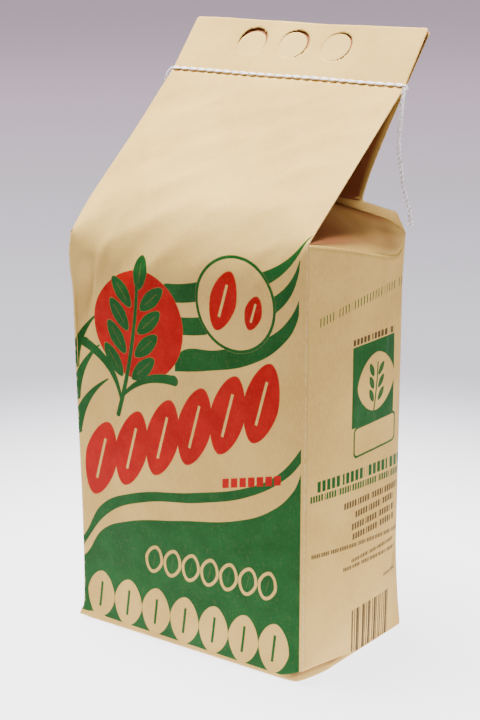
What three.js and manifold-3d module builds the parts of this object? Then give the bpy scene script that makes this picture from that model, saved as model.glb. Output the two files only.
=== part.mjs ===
// A 5 kg flour bag of brown kraft paper: a block-bottomed, side-gusseted tube, filled to its shoulder.
// Above the flour the front leans back over the fill, the side gussets fold inwards and every layer is
// pressed into one flat fin, which a white cotton chain stitch closes. The thread's end hangs free.
//
// Millimetres, +Z up. The origin is the middle of the base. The printed front faces -Y.

import * as THREE from 'three';
import { ConvexGeometry } from 'three/addons/geometries/ConvexGeometry.js';
import * as BufferGeometryUtils from 'three/addons/utils/BufferGeometryUtils.js';
import Module from 'manifold-3d';

const wasm = await Module();
wasm.setup();

// ---- Driving dimensions -------------------------------------------------------------------------

const width = 200;            // flat width of the front panel
const depth = 127;            // flat width of a side gusset, and the depth of the base
const shoulderHeight = 309.4; // base to the front crease, where the filled part ends
const leanLength = 145.4;     // front crease to the stitched bend
const leanAngle = 38.2;       // slope of the front panel above the fill, in degrees
const finLength = 48;         // stitched bend to the top edge
const finAngle = 49.4;        // slope of the fin, in degrees
const finThickness = 2;       // front, two gusset layers and back, with the air between them
const lipThickness = 1.2;     // doubled paper along the edges of the gusset's mouth

const rearCrease = { y: 57.5, z: 298 };    // top of the rear panel's upright part
const shelfCorner = { y: 45, z: 314.4 };   // rounded corner where the rear panel turns over the flour
const rearValley = { y: 0.5, z: 328.4 };   // fold where the rear panel turns up towards the fin
const gussetFold = 60;                     // how far the folded gusset reaches in from the side

const sideBulge = 15;         // the flour pushes each gusset out by this much
const frontBulge = 9;         // and the front and rear panels by this much
const edgePull = 2.6;         // so the front edges draw back by this much
const rightEdgePull = 1.8;    // and the right edges draw in

const footHeight = 5;         // the folded block bottom, a little proud of the walls
const footRound = 2.5;
const frontLeftEar = 4;       // the base's front left corner sticks out
const frontRightTuck = 5;     // and its front right corner is rounded off

const leftDroop = 15;         // the left shoulder sits lower than the right one

const holeRadius = 12.2;      // three die-cut finger holes, still closed by their own flaps
const holePitch = 36.5;
const holeMiddle = -4;        // middle of the row, from the bag's middle
const holeHeight = 29;        // above the stitched bend
const slitWidth = 1.1;
const hingeAngle = 80;        // each flap hangs on this much of its circle

const stitchCount = 26;
const stitchHeight = 0.6;     // above the bend
const chainRadius = 1.1;
const needleThreadRadius = 0.5;
const threadGap = 0.3;        // clear space between thread and paper

const tailDiameter = 3.2;

// ---- Directions worked out from them ------------------------------------------------------------

const halfWidth = width / 2;
const halfDepth = depth / 2;
const radians = THREE.MathUtils.degToRad;
const leanY = Math.cos(radians(leanAngle));
const leanZ = Math.sin(radians(leanAngle));
const finY = Math.cos(radians(finAngle));
const finZ = Math.sin(radians(finAngle));
const bend = { y: -halfDepth + leanLength * leanY, z: shoulderHeight + leanLength * leanZ };

// A point of the fin: x across, s up from the bend, t through the paper from the front towards the rear.
function finPoint(x, s, t) {
  return new THREE.Vector3(x, bend.y + s * finY + t * finZ, bend.z + s * finZ - t * finY);
}

// A point of the leaning front panel, t through the paper.
function leanPoint(x, s, t) {
  const y = -halfDepth + s * leanY + t * leanZ;
  return new THREE.Vector3(x, y, shoulderHeight + s * leanZ - t * leanY);
}

// ---- Meshes and solids --------------------------------------------------------------------------

// Joins rings of points, all of one count, into a closed skin with a fan over each end.
function loft(rings) {
  const sides = rings[0].length;
  const positions = [];
  const triangle = (a, b, c) => positions.push(...a.toArray(), ...b.toArray(), ...c.toArray());
  for (let level = 0; level + 1 < rings.length; level += 1) {
    for (let i = 0; i < sides; i += 1) {
      const j = (i + 1) % sides;
      triangle(rings[level][i], rings[level][j], rings[level + 1][j]);
      triangle(rings[level][i], rings[level + 1][j], rings[level + 1][i]);
    }
  }
  const ends = [rings[0], rings[rings.length - 1]];
  ends.forEach((ring, end) => {
    const middle = ring.reduce((sum, p) => sum.add(p), new THREE.Vector3()).divideScalar(sides);
    for (let i = 0; i < sides; i += 1) {
      const j = (i + 1) % sides;
      if (end === 0) triangle(ring[j], ring[i], middle);
      else triangle(ring[i], ring[j], middle);
    }
  });
  const geometry = new THREE.BufferGeometry();
  geometry.setAttribute('position', new THREE.Float32BufferAttribute(positions, 3));
  return geometry;
}

// Carries a round section along a curve, with a radius that may change on the way.
function sweep(curve, ringCount, sides, radiusAt) {
  const frames = curve.computeFrenetFrames(ringCount - 1);
  const rings = [];
  for (let k = 0; k < ringCount; k += 1) {
    const centre = curve.getPointAt(k / (ringCount - 1));
    const ring = [];
    for (let i = 0; i < sides; i += 1) {
      const angle = (2 * Math.PI * i) / sides;
      const point = centre.clone();
      point.addScaledVector(frames.normals[k], radiusAt(centre) * Math.cos(angle));
      point.addScaledVector(frames.binormals[k], radiusAt(centre) * Math.sin(angle));
      ring.push(point);
    }
    rings.push(ring);
  }
  return loft(rings);
}

function toSolid(geometry) {
  const bare = geometry.clone();
  bare.deleteAttribute('normal');
  bare.deleteAttribute('uv');
  const merged = BufferGeometryUtils.mergeVertices(bare, 1e-4);
  return new wasm.Manifold(
    new wasm.Mesh({
      numProp: 3,
      vertProperties: new Float32Array(merged.attributes.position.array),
      triVerts: new Uint32Array(merged.index.array),
    }),
  );
}

function toGeometry(solid) {
  const mesh = solid.getMesh();
  const geometry = new THREE.BufferGeometry();
  geometry.setAttribute('position', new THREE.BufferAttribute(new Float32Array(mesh.vertProperties), 3));
  geometry.setIndex(new THREE.BufferAttribute(new Uint32Array(mesh.triVerts), 1));
  geometry.computeVertexNormals();
  return geometry;
}

// ---- The filled part ----------------------------------------------------------------------------

const frontSteps = 10;
const sideSteps = 8;

// One turn round the bag. Each side is a function of its own run from 0 to 1.
function turn(front, right, rear, left) {
  const ring = [];
  for (let i = 0; i < frontSteps; i += 1) ring.push(front(i / frontSteps));
  for (let i = 0; i < sideSteps; i += 1) ring.push(right(i / sideSteps));
  for (let i = 0; i < frontSteps; i += 1) ring.push(rear(i / frontSteps));
  for (let i = 0; i < sideSteps; i += 1) ring.push(left(i / sideSteps));
  return ring;
}

// How far a panel stands out at a place along it, from 0 at one edge to 1 at the other.
const swell = (run, power) => 1 - Math.abs(2 * run - 1) ** power;

// A level turn at a height. full is how far the flour has pushed the panels out, from 0 to 1.
function wallRing(z, full, grow) {
  const xRight = halfWidth + grow - rightEdgePull * full;
  const xLeft = -halfWidth - grow;
  const yFront = -halfDepth - grow + edgePull * full;
  const yRear = THREE.MathUtils.lerp(halfDepth, rearCrease.y, Math.min(1, z / 60)) + grow;
  const side = (run) => sideBulge * full * swell(run, 2.8);
  const face = (run) => frontBulge * full * swell(run, 2.2);
  const lerp = THREE.MathUtils.lerp;
  return turn(
    (run) => new THREE.Vector3(lerp(xLeft, xRight, run), yFront - face(run), z),
    (run) => new THREE.Vector3(xRight + side(run), lerp(yFront, yRear, run), z),
    (run) => new THREE.Vector3(lerp(xRight, xLeft, run), yRear + face(run) / 2, z),
    (run) => new THREE.Vector3(xLeft - side(run), lerp(yRear, yFront, run), z),
  );
}

// The foot: the paper folded under the block bottom, with one corner pulled out and one rounded off.
function footRing(z, grow) {
  const ring = wallRing(z, 0, grow);
  ring[0].x -= frontLeftEar;
  ring[frontSteps].x -= frontRightTuck;
  ring[frontSteps].y += frontRightTuck;
  return ring;
}

// The shoulder crease: level along the front, falling along the sides, level along the rear.
function creaseRing() {
  const reach = 12;
  const fall = 22;
  const lerp = THREE.MathUtils.lerp;
  const side = (run) => halfWidth + reach * swell(run, 2.4);
  const sideZ = (run) => shoulderHeight - fall * run ** 1.2 + (rearCrease.z - shoulderHeight + fall) * run ** 8;
  const sideY = (run) => lerp(-halfDepth, rearCrease.y, run);
  return turn(
    (run) => new THREE.Vector3(lerp(-halfWidth, halfWidth, run), -halfDepth, shoulderHeight),
    (run) => new THREE.Vector3(side(run), sideY(run), sideZ(run)),
    (run) => new THREE.Vector3(lerp(halfWidth, -halfWidth, run), rearCrease.y, rearCrease.z),
    (run) => new THREE.Vector3(-side(1 - run), sideY(1 - run), sideZ(1 - run)),
  );
}

// Height of the folded gusset's shelf, which lies on the flour, from the front crease to its rear corner.
function shelfZ(y) {
  if (y < rearValley.y) {
    return THREE.MathUtils.mapLinear(y, -halfDepth, rearValley.y, shoulderHeight, rearValley.z);
  }
  return THREE.MathUtils.mapLinear(y, rearValley.y, shelfCorner.y, rearValley.z, shelfCorner.z);
}

// A turn over the top of the flour. shrink 1 is the shelf's own edge; less draws it in to its ridge.
function shelfRing(shrink) {
  const inset = 3;
  const yFront = -halfDepth + inset;
  const place = (x, y) => {
    const yHere = THREE.MathUtils.lerp(rearValley.y, y, shrink);
    const reach = THREE.MathUtils.lerp(0.5, 1, shrink);
    return new THREE.Vector3(x * reach, yHere, shelfZ(yHere));
  };
  const lerp = THREE.MathUtils.lerp;
  return turn(
    (run) => place(lerp(-halfWidth, halfWidth, run), yFront),
    (run) => place(halfWidth, lerp(yFront, shelfCorner.y, run)),
    (run) => place(lerp(halfWidth, -halfWidth, run), shelfCorner.y),
    (run) => place(-halfWidth, lerp(shelfCorner.y, yFront, run)),
  );
}

function filledPart() {
  const underside = footRing(0, -footRound);
  const rings = [
    underside,
    footRing(footRound * 0.4, -footRound * 0.3),
    footRing(footRound, 0),
    footRing(footHeight, 0),
  ];
  const wallHeights = [7, 22, 50, 90, 140, 190, 235, 268];
  for (const z of wallHeights) {
    const rise = z / shoulderHeight;
    rings.push(wallRing(z, Math.min(1, (4 * rise * (1.12 - rise)) ** 0.5), 0));
  }
  rings.push(creaseRing(), shelfRing(1), shelfRing(0.5), shelfRing(0.06));
  return toSolid(loft(rings));
}

// ---- The closed top -----------------------------------------------------------------------------

const topSteps = 12;

// The leaning front panel and the rear panel behind it, as one wedge from side to side.
function leaningPart() {
  const outline = new THREE.Shape();
  const leanStations = 6;
  for (let i = 0; i <= leanStations; i += 1) {
    const p = leanPoint(0, (leanLength * i) / leanStations, 0);
    if (i === 0) outline.moveTo(p.y, p.z);
    else outline.lineTo(p.y, p.z);
  }
  const behindBend = finPoint(0, 0, finThickness);
  const inside = 6;
  outline.lineTo(behindBend.y, behindBend.z);
  outline.lineTo(rearValley.y, rearValley.z);
  outline.lineTo(rearValley.y, shoulderHeight);
  outline.lineTo(-halfDepth + inside, shoulderHeight);
  outline.closePath();
  const wedge = new THREE.ExtrudeGeometry(outline, { depth: width, steps: topSteps, bevelEnabled: false });
  // The outline is drawn in Y and Z and carried along X.
  const axes = new THREE.Matrix4().makeBasis(
    new THREE.Vector3(0, 1, 0),
    new THREE.Vector3(0, 0, 1),
    new THREE.Vector3(1, 0, 0),
  );
  axes.setPosition(-halfWidth, 0, 0);
  return toSolid(wedge.applyMatrix4(axes));
}

// The space that the gusset folds into at one side: its mouth is the triangle between the front panel,
// the rear panel and the shelf, and it narrows to the gusset's own crease inside. side is +1 or -1.
function gussetRecess(side) {
  const mouthX = side * (halfWidth + 30);
  const innerX = side * (halfWidth - gussetFold);
  const depthSteps = 2;
  const clearOfEdge = lipThickness;
  const low = (x) => leanPoint(x, 3, clearOfEdge + 1);
  const high = (x) => leanPoint(x, leanLength - 9, clearOfEdge);
  const rear = (x) => new THREE.Vector3(x, rearValley.y - 1.8, rearValley.z - 1.2);
  const points = [low(mouthX), high(mouthX), rear(mouthX)];
  points.push(high(innerX), rear(innerX));
  for (let i = 1; i <= depthSteps; i += 1) {
    const x = THREE.MathUtils.lerp(mouthX, innerX, i / depthSteps);
    points.push(leanPoint(x, leanLength * 0.45, clearOfEdge + 8 * i));
  }
  return toSolid(new ConvexGeometry(points));
}

// A crescent slit round one finger hole's flap, open from the hinge's one end to its other.
function slitPath(x) {
  const path = new THREE.Path();
  const half = radians(hingeAngle / 2);
  const start = -Math.PI / 2 + half;
  const end = (3 * Math.PI) / 2 - half;
  path.absarc(x, holeHeight, holeRadius, start, end, false);
  path.absarc(x, holeHeight, holeRadius - slitWidth, end, start, true);
  path.closePath();
  return path;
}

// The fin: every layer pressed flat, with rounded top corners and three slit finger holes.
function fin() {
  const corner = 3;
  const below = -3;
  const outline = new THREE.Shape();
  outline.moveTo(-halfWidth, below);
  outline.lineTo(halfWidth, below);
  outline.lineTo(halfWidth, finLength - corner);
  outline.absarc(halfWidth - corner, finLength - corner, corner, 0, Math.PI / 2, false);
  outline.absarc(-halfWidth + corner, finLength - corner, corner, Math.PI / 2, Math.PI, false);
  outline.closePath();
  for (let i = -1; i <= 1; i += 1) outline.holes.push(slitPath(i * holePitch - holeMiddle));
  const sheet = new THREE.ExtrudeGeometry(outline, {
    depth: finThickness,
    bevelEnabled: false,
    curveSegments: 10,
  });
  // Seen from behind: the outline's X runs to the left, its Y up the fin, and its depth to the rear.
  const axes = new THREE.Matrix4().makeBasis(
    new THREE.Vector3(-1, 0, 0),
    new THREE.Vector3(0, finY, finZ),
    new THREE.Vector3(0, finZ, -finY),
  );
  axes.setPosition(finPoint(0, 0, 0));
  return toSolid(sheet.applyMatrix4(axes));
}

// The left shoulder has sunk: the corner drops, and the drop fades towards the middle and the fin.
function sinkLeftShoulder(geometry) {
  const p = geometry.attributes.position;
  const startX = -30;
  const startZ = 235;
  for (let i = 0; i < p.count; i += 1) {
    const across = THREE.MathUtils.clamp((startX - p.getX(i)) / (halfWidth + startX), 0, 1.1);
    const up = THREE.MathUtils.smoothstep(p.getZ(i), startZ, shoulderHeight - 10);
    const along = THREE.MathUtils.clamp((p.getY(i) + halfDepth) / (bend.y + halfDepth), 0, 1);
    p.setZ(i, p.getZ(i) - leftDroop * across ** 2 * up * (1 - along) ** 1.2);
  }
  return geometry;
}

function bagGeometry() {
  const top = leaningPart().subtract(gussetRecess(1)).subtract(gussetRecess(-1));
  const whole = filledPart().add(top).add(fin());
  return sinkLeftShoulder(toGeometry(whole));
}

// ---- The thread ---------------------------------------------------------------------------------

// The seam: chain loops along the front of the fin, round its right end, and one needle thread back.
function seamGeometry() {
  const frontOff = -(threadGap + chainRadius);
  const rearOff = finThickness + threadGap + needleThreadRadius;
  const beyond = halfWidth + 1.2;
  const s = stitchHeight;
  const route = [
    new THREE.Vector3(-beyond - 4.8, bend.y - 1.5, bend.z - 8),
    new THREE.Vector3(-beyond - 2.2, bend.y - 1, bend.z - 3),
    finPoint(-beyond + 2, s, frontOff),
  ];
  const runSteps = 8;
  for (let i = 1; i < runSteps; i += 1) {
    route.push(finPoint(THREE.MathUtils.lerp(-beyond, beyond, i / runSteps), s, frontOff));
  }
  route.push(finPoint(beyond - 1, s, frontOff));
  route.push(finPoint(beyond + 0.4, s, finThickness / 2));
  route.push(finPoint(beyond - 1, s, rearOff));
  for (let i = 1; i <= runSteps; i += 1) {
    route.push(finPoint(THREE.MathUtils.lerp(beyond - 1, -halfWidth + 2, i / runSteps), s, rearOff));
  }
  const curve = new THREE.CatmullRomCurve3(route, false, 'centripetal');
  curve.arcLengthDivisions = 1200;
  const pitch = width / stitchCount;
  const ringsPerStitch = 4;
  const ringCount = 2 * stitchCount * ringsPerStitch + 1;
  return sweep(curve, ringCount, 6, (centre) => {
    const through = (centre.y - bend.y) * finZ - (centre.z - bend.z) * finY;
    if (through > finThickness / 2) return needleThreadRadius;
    const wave = Math.abs(Math.sin((Math.PI * (centre.x + beyond)) / pitch));
    return THREE.MathUtils.lerp(0.55, 1, wave) * chainRadius;
  });
}

// The free end of the chain, from the seam's right end down past the shelf. Its points are placed by hand.
const tailRoute = [
  [102.0, 47.2, 399.2],
  [102.1, 46.2, 394.6],
  [102.0, 45.1, 389.0],
  [102.0, 44.2, 382.6],
  [102.0, 43.2, 375.8],
  [101.9, 42.3, 369.2],
  [101.9, 41.8, 362.8],
  [101.9, 42.4, 356.4],
  [102.0, 43.7, 350.2],
  [102.4, 45.0, 343.6],
  [102.9, 46.2, 336.8],
  [103.6, 47.2, 330.2],
  [104.5, 48.9, 323.8],
  [105.4, 51.0, 317.6],
  [106.0, 52.6, 311.4],
  [106.2, 53.2, 304.8],
];

function tailGeometry() {
  const section = new THREE.Shape();
  section.absarc(0, 0, tailDiameter / 2, 0, 2 * Math.PI, false);
  const curve = new THREE.CatmullRomCurve3(tailRoute.map((p) => new THREE.Vector3(...p)));
  return new THREE.ExtrudeGeometry(section, { extrudePath: curve, steps: 14, curveSegments: 8 });
}

// ---- Scene graph --------------------------------------------------------------------------------

function piece(name, geometry, color, roughness) {
  const material = new THREE.MeshStandardMaterial({ color, roughness, metalness: 0 });
  const mesh = new THREE.Mesh(geometry, material);
  mesh.name = name;
  return mesh;
}

const flourBag = new THREE.Group();
flourBag.add(
  piece('bag', bagGeometry(), '#c9b283', 0.75),
  piece('seam_thread', seamGeometry(), '#ece7e0', 0.9),
  piece('thread_tail', tailGeometry(), '#e0d9d6', 0.9),
);

export default flourBag;
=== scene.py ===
"""A 5 kg flour bag of brown kraft paper, standing on its block bottom.

The bag is a gusseted tube. It is filled to the shoulder, folded back over the flour, pressed into a flat
fin and closed by a cotton chain stitch. Lengths are millimetres until a mesh is made.
"""

import math

import bpy
import numpy as np
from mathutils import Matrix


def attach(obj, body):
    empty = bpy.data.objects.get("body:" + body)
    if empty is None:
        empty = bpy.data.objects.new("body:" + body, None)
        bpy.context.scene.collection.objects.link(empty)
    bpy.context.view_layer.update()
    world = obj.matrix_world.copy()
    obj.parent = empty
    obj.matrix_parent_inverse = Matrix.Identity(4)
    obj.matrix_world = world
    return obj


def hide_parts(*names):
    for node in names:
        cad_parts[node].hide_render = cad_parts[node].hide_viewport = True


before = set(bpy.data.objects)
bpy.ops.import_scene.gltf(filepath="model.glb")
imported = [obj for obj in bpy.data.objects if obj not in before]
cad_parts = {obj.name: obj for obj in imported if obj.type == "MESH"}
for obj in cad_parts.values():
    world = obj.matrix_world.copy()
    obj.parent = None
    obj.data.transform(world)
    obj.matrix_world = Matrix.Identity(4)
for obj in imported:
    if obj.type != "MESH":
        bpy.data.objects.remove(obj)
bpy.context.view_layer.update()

# ---- Camera -------------------------------------------------------------------------------------
# A long lens, 1.2 m away and a little above the bag's top. It looks down at the bag's front right
# corner.

camera_turn = math.radians(36.27)
camera_drop = math.radians(15.46)
camera_data = bpy.data.cameras.new("camera")
camera_data.lens = 86.25
camera = bpy.data.objects.new("camera", camera_data)
camera.location = (0.70513, -0.96216, 0.53249)
camera.rotation_euler = (math.pi / 2 - camera_drop, 0, camera_turn)
bpy.context.scene.collection.objects.link(camera)
bpy.context.scene.camera = camera

# ---- The free end of the closing thread ---------------------------------------------------------
# The chain stitch runs off the end of the fin and hangs as a limp cord of looped white cotton. Three
# strands pass round each other as in a plait, a fourth runs beside them, and the cut end is frayed.

tail_route = [
    [102.0, 47.2, 399.2], [102.1, 46.2, 394.6], [102.0, 45.1, 389.0], [102.0, 44.2, 382.6],
    [102.0, 43.2, 375.8], [101.9, 42.3, 369.2], [101.9, 41.8, 362.8], [101.9, 42.4, 356.4],
    [102.0, 43.7, 350.2], [102.4, 45.0, 343.6], [102.9, 46.2, 336.8], [103.6, 47.2, 330.2],
    [104.5, 48.9, 323.8], [105.4, 51.0, 317.6], [106.0, 52.6, 311.4], [106.2, 53.2, 304.8],
]


def smooth_line(points, per_span):
    """A line through all the points: a Catmull-Rom cubic on each span, sloped by the points either side."""
    p = np.asarray(points, float)
    p = np.vstack([2 * p[0] - p[1], p, 2 * p[-1] - p[-2]])
    t = np.linspace(0, 1, per_span, endpoint=False)[None, :, None]
    a, b, c, d = p[:-3, None], p[1:-2, None], p[2:-1, None], p[3:, None]
    spans = b + 0.5 * t * (c - a + t * (2 * a - 5 * b + 4 * c - d + t * (3 * (b - c) + d - a)))
    return np.vstack([spans.reshape(-1, 3), p[-2]])


def tube(line, radius, sides=8):
    """A round tube: each point of the line carries a ring square to it. radius may be one value for each
    point. The rings of the first and last point shrink to the line, which closes the tube."""
    line = np.asarray(line, float)
    radius = np.broadcast_to(np.asarray(radius, float), len(line)).copy()
    along = np.gradient(line, axis=0)
    along /= np.linalg.norm(along, axis=1)[:, None]
    across = np.cross(along, [0.31, 0.17, 0.93])
    flat = np.linalg.norm(across, axis=1) < 0.2
    across[flat] = np.cross(along[flat], [1.0, 0.2, 0.0])
    across /= np.linalg.norm(across, axis=1)[:, None]
    third = np.cross(along, across)
    line = np.vstack([line[:1], line, line[-1:]])
    radius = np.concatenate([[0], radius, [0]])
    across = np.vstack([across[:1], across, across[-1:]])
    third = np.vstack([third[:1], third, third[-1:]])
    turn = np.linspace(0, 2 * np.pi, sides + 1)
    ring = np.cos(turn)[None, :, None] * across[:, None] + np.sin(turn)[None, :, None] * third[:, None]
    return line[:, None] + radius[:, None, None] * ring


bare_and_shade_place = 1000.0                  # the print place across where paper is bare; past it, how deep the painted shade of a fold is


def grid_piece(name, patches, weld=0.0):
    """One piece from grids of points. A patch is (points, print place, kept cells): points are rows x
    columns x 3 in millimetres, print place is rows x columns x 2, kept cells is a mask of the cells that
    exist. The last two may be None. A cell faces the way that (next column) x (next row) points."""
    vertices, faces, places = [], [], []
    start = 0
    for points, place, kept in patches:
        rows, columns = points.shape[:2]
        number = start + np.arange(rows * columns).reshape(rows, columns)
        corners = [number[:-1, :-1], number[:-1, 1:], number[1:, 1:], number[1:, :-1]]
        cells = np.stack(corners, axis=-1)
        cells = cells.reshape(-1, 4) if kept is None else cells[kept]
        if place is None:
            place = np.full((rows, columns, 2), bare_and_shade_place)
        vertices.append(points.reshape(-1, 3) / 1000)
        places.append(place.reshape(-1, 2))
        faces.append(cells)
        start += rows * columns
    vertices, faces, places = np.vstack(vertices), np.vstack(faces), np.vstack(places)
    mesh = bpy.data.meshes.new(name)
    mesh.from_pydata(vertices.tolist(), [], faces.tolist())
    mesh.uv_layers.new(name="print")
    mesh.uv_layers["print"].data.foreach_set("uv", places[faces.ravel()].ravel())
    mesh.polygons.foreach_set("use_smooth", np.ones(len(mesh.polygons), bool))
    piece = bpy.data.objects.new(name, mesh)
    bpy.context.scene.collection.objects.link(piece)
    if weld:
        merge = piece.modifiers.new("closed seams", "WELD")
        merge.merge_threshold = weld / 1000
    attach(piece, "root")
    return piece


def calc(tree, operation, *values):
    """The result of one Math node, whose inputs are numbers or other nodes' sockets."""
    node = tree.nodes.new("ShaderNodeMath")
    node.operation = operation
    for socket, value in zip(node.inputs, values):
        if isinstance(value, (int, float)):
            socket.default_value = value
        else:
            tree.links.new(value, socket)
    return node.outputs[0]


def noise(tree, place, scale, detail=3.0, rough=0.55):
    """A Noise texture's factor. scale is in features per metre on Object coordinates."""
    node = tree.nodes.new("ShaderNodeTexNoise")
    node.inputs["Scale"].default_value = scale
    node.inputs["Detail"].default_value = detail
    node.inputs["Roughness"].default_value = rough
    tree.links.new(place, node.inputs["Vector"])
    return node.outputs["Fac"]


def stretched(tree, place, scale):
    """The place, stretched by a Mapping node: small numbers make long features along that axis."""
    node = tree.nodes.new("ShaderNodeMapping")
    node.inputs["Scale"].default_value = scale
    tree.links.new(place, node.inputs["Vector"])
    return node.outputs["Vector"]


def blend(tree, amount, first, second, kind="MIX"):
    """One colour mixed over another. amount, first and second are sockets or values."""
    node = tree.nodes.new("ShaderNodeMix")
    node.data_type = "RGBA"
    node.blend_type = kind
    for socket, value in ((node.inputs[0], amount), (node.inputs[6], first), (node.inputs[7], second)):
        if isinstance(value, (int, float, tuple)):
            socket.default_value = value
        else:
            tree.links.new(value, socket)
    return node.outputs[2]


def ramp(tree, value, low, high):
    """value carried from low..high to 0..1, with smooth ends."""
    node = tree.nodes.new("ShaderNodeMapRange")
    node.interpolation_type = "SMOOTHSTEP"
    node.inputs["From Min"].default_value = low
    node.inputs["From Max"].default_value = high
    tree.links.new(value, node.inputs["Value"])
    return node.outputs["Result"]


def new_material(name, roughness):
    """A Principled material with a Bump node before its Normal. Returns (material, tree, shader, bump)."""
    material = bpy.data.materials.new(name)
    material.use_nodes = True
    tree = material.node_tree
    shader = tree.nodes["Principled BSDF"]
    shader.inputs["Roughness"].default_value = roughness
    shader.inputs["Specular IOR Level"].default_value = 0.08
    bump = tree.nodes.new("ShaderNodeBump")
    tree.links.new(bump.outputs["Normal"], shader.inputs["Normal"])
    return material, tree, shader, bump


def cotton_material():
    """White cotton: soft grey shading in the lay of the strands, fine fuzz in the bump and a little sheen."""
    material, tree, shader, bump = new_material("white cotton", 0.9)
    place = tree.nodes.new("ShaderNodeTexCoord").outputs["Object"]
    tufts = noise(tree, place, 900.0, 4.0)
    shade = noise(tree, place, 260.0, 2.0)
    colour = blend(tree, ramp(tree, shade, 0.3, 0.7), (0.70, 0.65, 0.68, 1), (0.97, 0.95, 0.97, 1))
    colour = blend(tree, ramp(tree, tufts, 0.35, 0.75), colour, (0.97, 0.95, 0.96, 1))
    tree.links.new(colour, shader.inputs["Base Color"])
    shader.inputs["Sheen Weight"].default_value = 0.5
    shader.inputs["Sheen Roughness"].default_value = 0.6
    tree.links.new(tufts, bump.inputs["Height"])
    bump.inputs["Strength"].default_value = 0.7
    bump.inputs["Distance"].default_value = 0.0003
    return material


cotton = cotton_material()


def plaited(line, spread, depth, strand, plait, side, loosen=0.0):
    """Three strands about a line. Strand k is off it by spread x sin(turn + k/3) along side, and by depth x
    sin(2 turn + 2k/3) square to that, as in a flat plait of that pitch. loosen opens them towards the end."""
    travel = np.concatenate([[0], np.cumsum(np.linalg.norm(np.diff(line, axis=0), axis=1))])
    along = np.gradient(line, axis=0)
    along /= np.linalg.norm(along, axis=1)[:, None]
    across = np.asarray(side, float) - along * (along @ np.asarray(side, float))[:, None]
    across /= np.linalg.norm(across, axis=1)[:, None]
    through = np.cross(along, across)
    opened = 1 + loosen * np.clip((travel - travel[-1] + 5) / 5, 0, 1)
    strands = []
    for k in range(3):
        turn = 2 * np.pi * (travel / plait + k / 3)
        off = (spread * opened * np.sin(turn))[:, None] * across
        off = off + (depth * opened * np.sin(2 * turn))[:, None] * through
        thick = strand * (1 + 0.14 * np.sin(9.1 * travel + 2 * k) + 0.10 * np.sin(3.3 * travel + k))
        strands.append((tube(line + off, thick, 9), None, None))
    return strands


tail_line = smooth_line(tail_route, 16)
tail_strands = plaited(tail_line, 1.20, 0.45, 0.36, 10.5, (0.85, 0.5, 0.1), loosen=0.7)
core_thickness = 0.62 + 0.14 * np.sin(np.arange(len(tail_line)) / 2.6)
tail_strands.append((tube(tail_line + np.array([0.42, 0.26, 0.0]), core_thickness, 9), None, None))
frayed = np.random.default_rng(4)
for k in range(14):
    reach = frayed.normal(0, 1, 3) * [1.1, 1.1, 0.4] + [0.2, 0.1, -2.2]
    root = tail_line[-1 - int(frayed.integers(0, 6))] + frayed.normal(0, 0.35, 3)
    hair = root + np.linspace(0, 1, 6)[:, None] * reach * 0.8
    tail_strands.append((tube(hair, 0.10, 5), None, None))
thread_end = grid_piece("thread_free_end", tail_strands)
thread_end.data.materials.append(cotton)
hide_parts("thread_tail")

# ---- The paper tube -----------------------------------------------------------------------------
# Two-ply kraft paper, made as a flat tube with a gusset down each side. The flour pushes the panels
# out, and above it the front leans back, the gussets fold in and all layers end in the flat fin.

width, depth = 200.0, 127.0
half_width, half_depth = width / 2, depth / 2
shoulder = 309.4                     # base to front crease
lean_length, lean_angle = 145.4, math.radians(38.2)
fin_length, fin_angle = 48.0, math.radians(49.4)
fin_gap = 2.0                        # front leaf to rear leaf at the seam
bend_y = -half_depth + lean_length * math.cos(lean_angle)
bend_z = shoulder + lean_length * math.sin(lean_angle)
rear_crease = (57.5, 298.0)          # y and z of the rear panel's folds
shelf_corner = (45.0, 314.4)
rear_valley = (0.5, 328.4)
inner_fold = 55.0                    # the gusset's own crease stands this far in
paper = 0.35


def smoothstep(value, low, high):
    """0 below low, 1 above high, a smooth cubic between."""
    t = np.clip((value - low) / (high - low), 0, 1)
    return t * t * (3 - 2 * t)


def swell(run, power):
    """0 at either edge of a panel and 1 in the middle: 1 - |2 run - 1| ^ power."""
    return 1 - np.abs(2 * run - 1) ** power


def fullness(z):
    """How far the flour has pushed the panels out at a height: a root curve up from the base, held at 1.
    It starts softly, over the first 24 mm, where the folded bottom holds the paper straight."""
    rise = np.clip(z / shoulder, 0, 1)
    return np.minimum(1, np.sqrt(4 * rise * (1.12 - rise))) * smoothstep(z, -6, 24)


def edge_fullness(z):
    """The same along the tube's four long folds, where it fades out below the shoulder."""
    return fullness(z) * (1 - smoothstep(z, 255, shoulder))


def rounded_path(length, corners, soft):
    """(y, z) at a paper length along a line of corners. Each inner corner is rounded by a parabola over the
    length soft gives for it, which may be an array that changes along the panel."""
    corners = np.asarray(corners, float)
    steps = np.diff(corners, axis=0)
    spans = np.linalg.norm(steps, axis=1)
    stops = np.concatenate([[0], np.cumsum(spans)])
    ways = steps / spans[:, None]
    y = np.interp(length, stops, corners[:, 0])
    z = np.interp(length, stops, corners[:, 1])
    for k in range(1, len(corners) - 1):
        t = (length - stops[k]) / soft[k - 1] + 0.5
        inside = (t > 0) & (t < 1)
        before, after = (1 - t) ** 2 * soft[k - 1] / 2, t ** 2 * soft[k - 1] / 2
        y = np.where(inside, corners[k, 0] - before * ways[k - 1, 0] + after * ways[k, 0], y)
        z = np.where(inside, corners[k, 1] - before * ways[k - 1, 1] + after * ways[k, 1], z)
    return y, z


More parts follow.
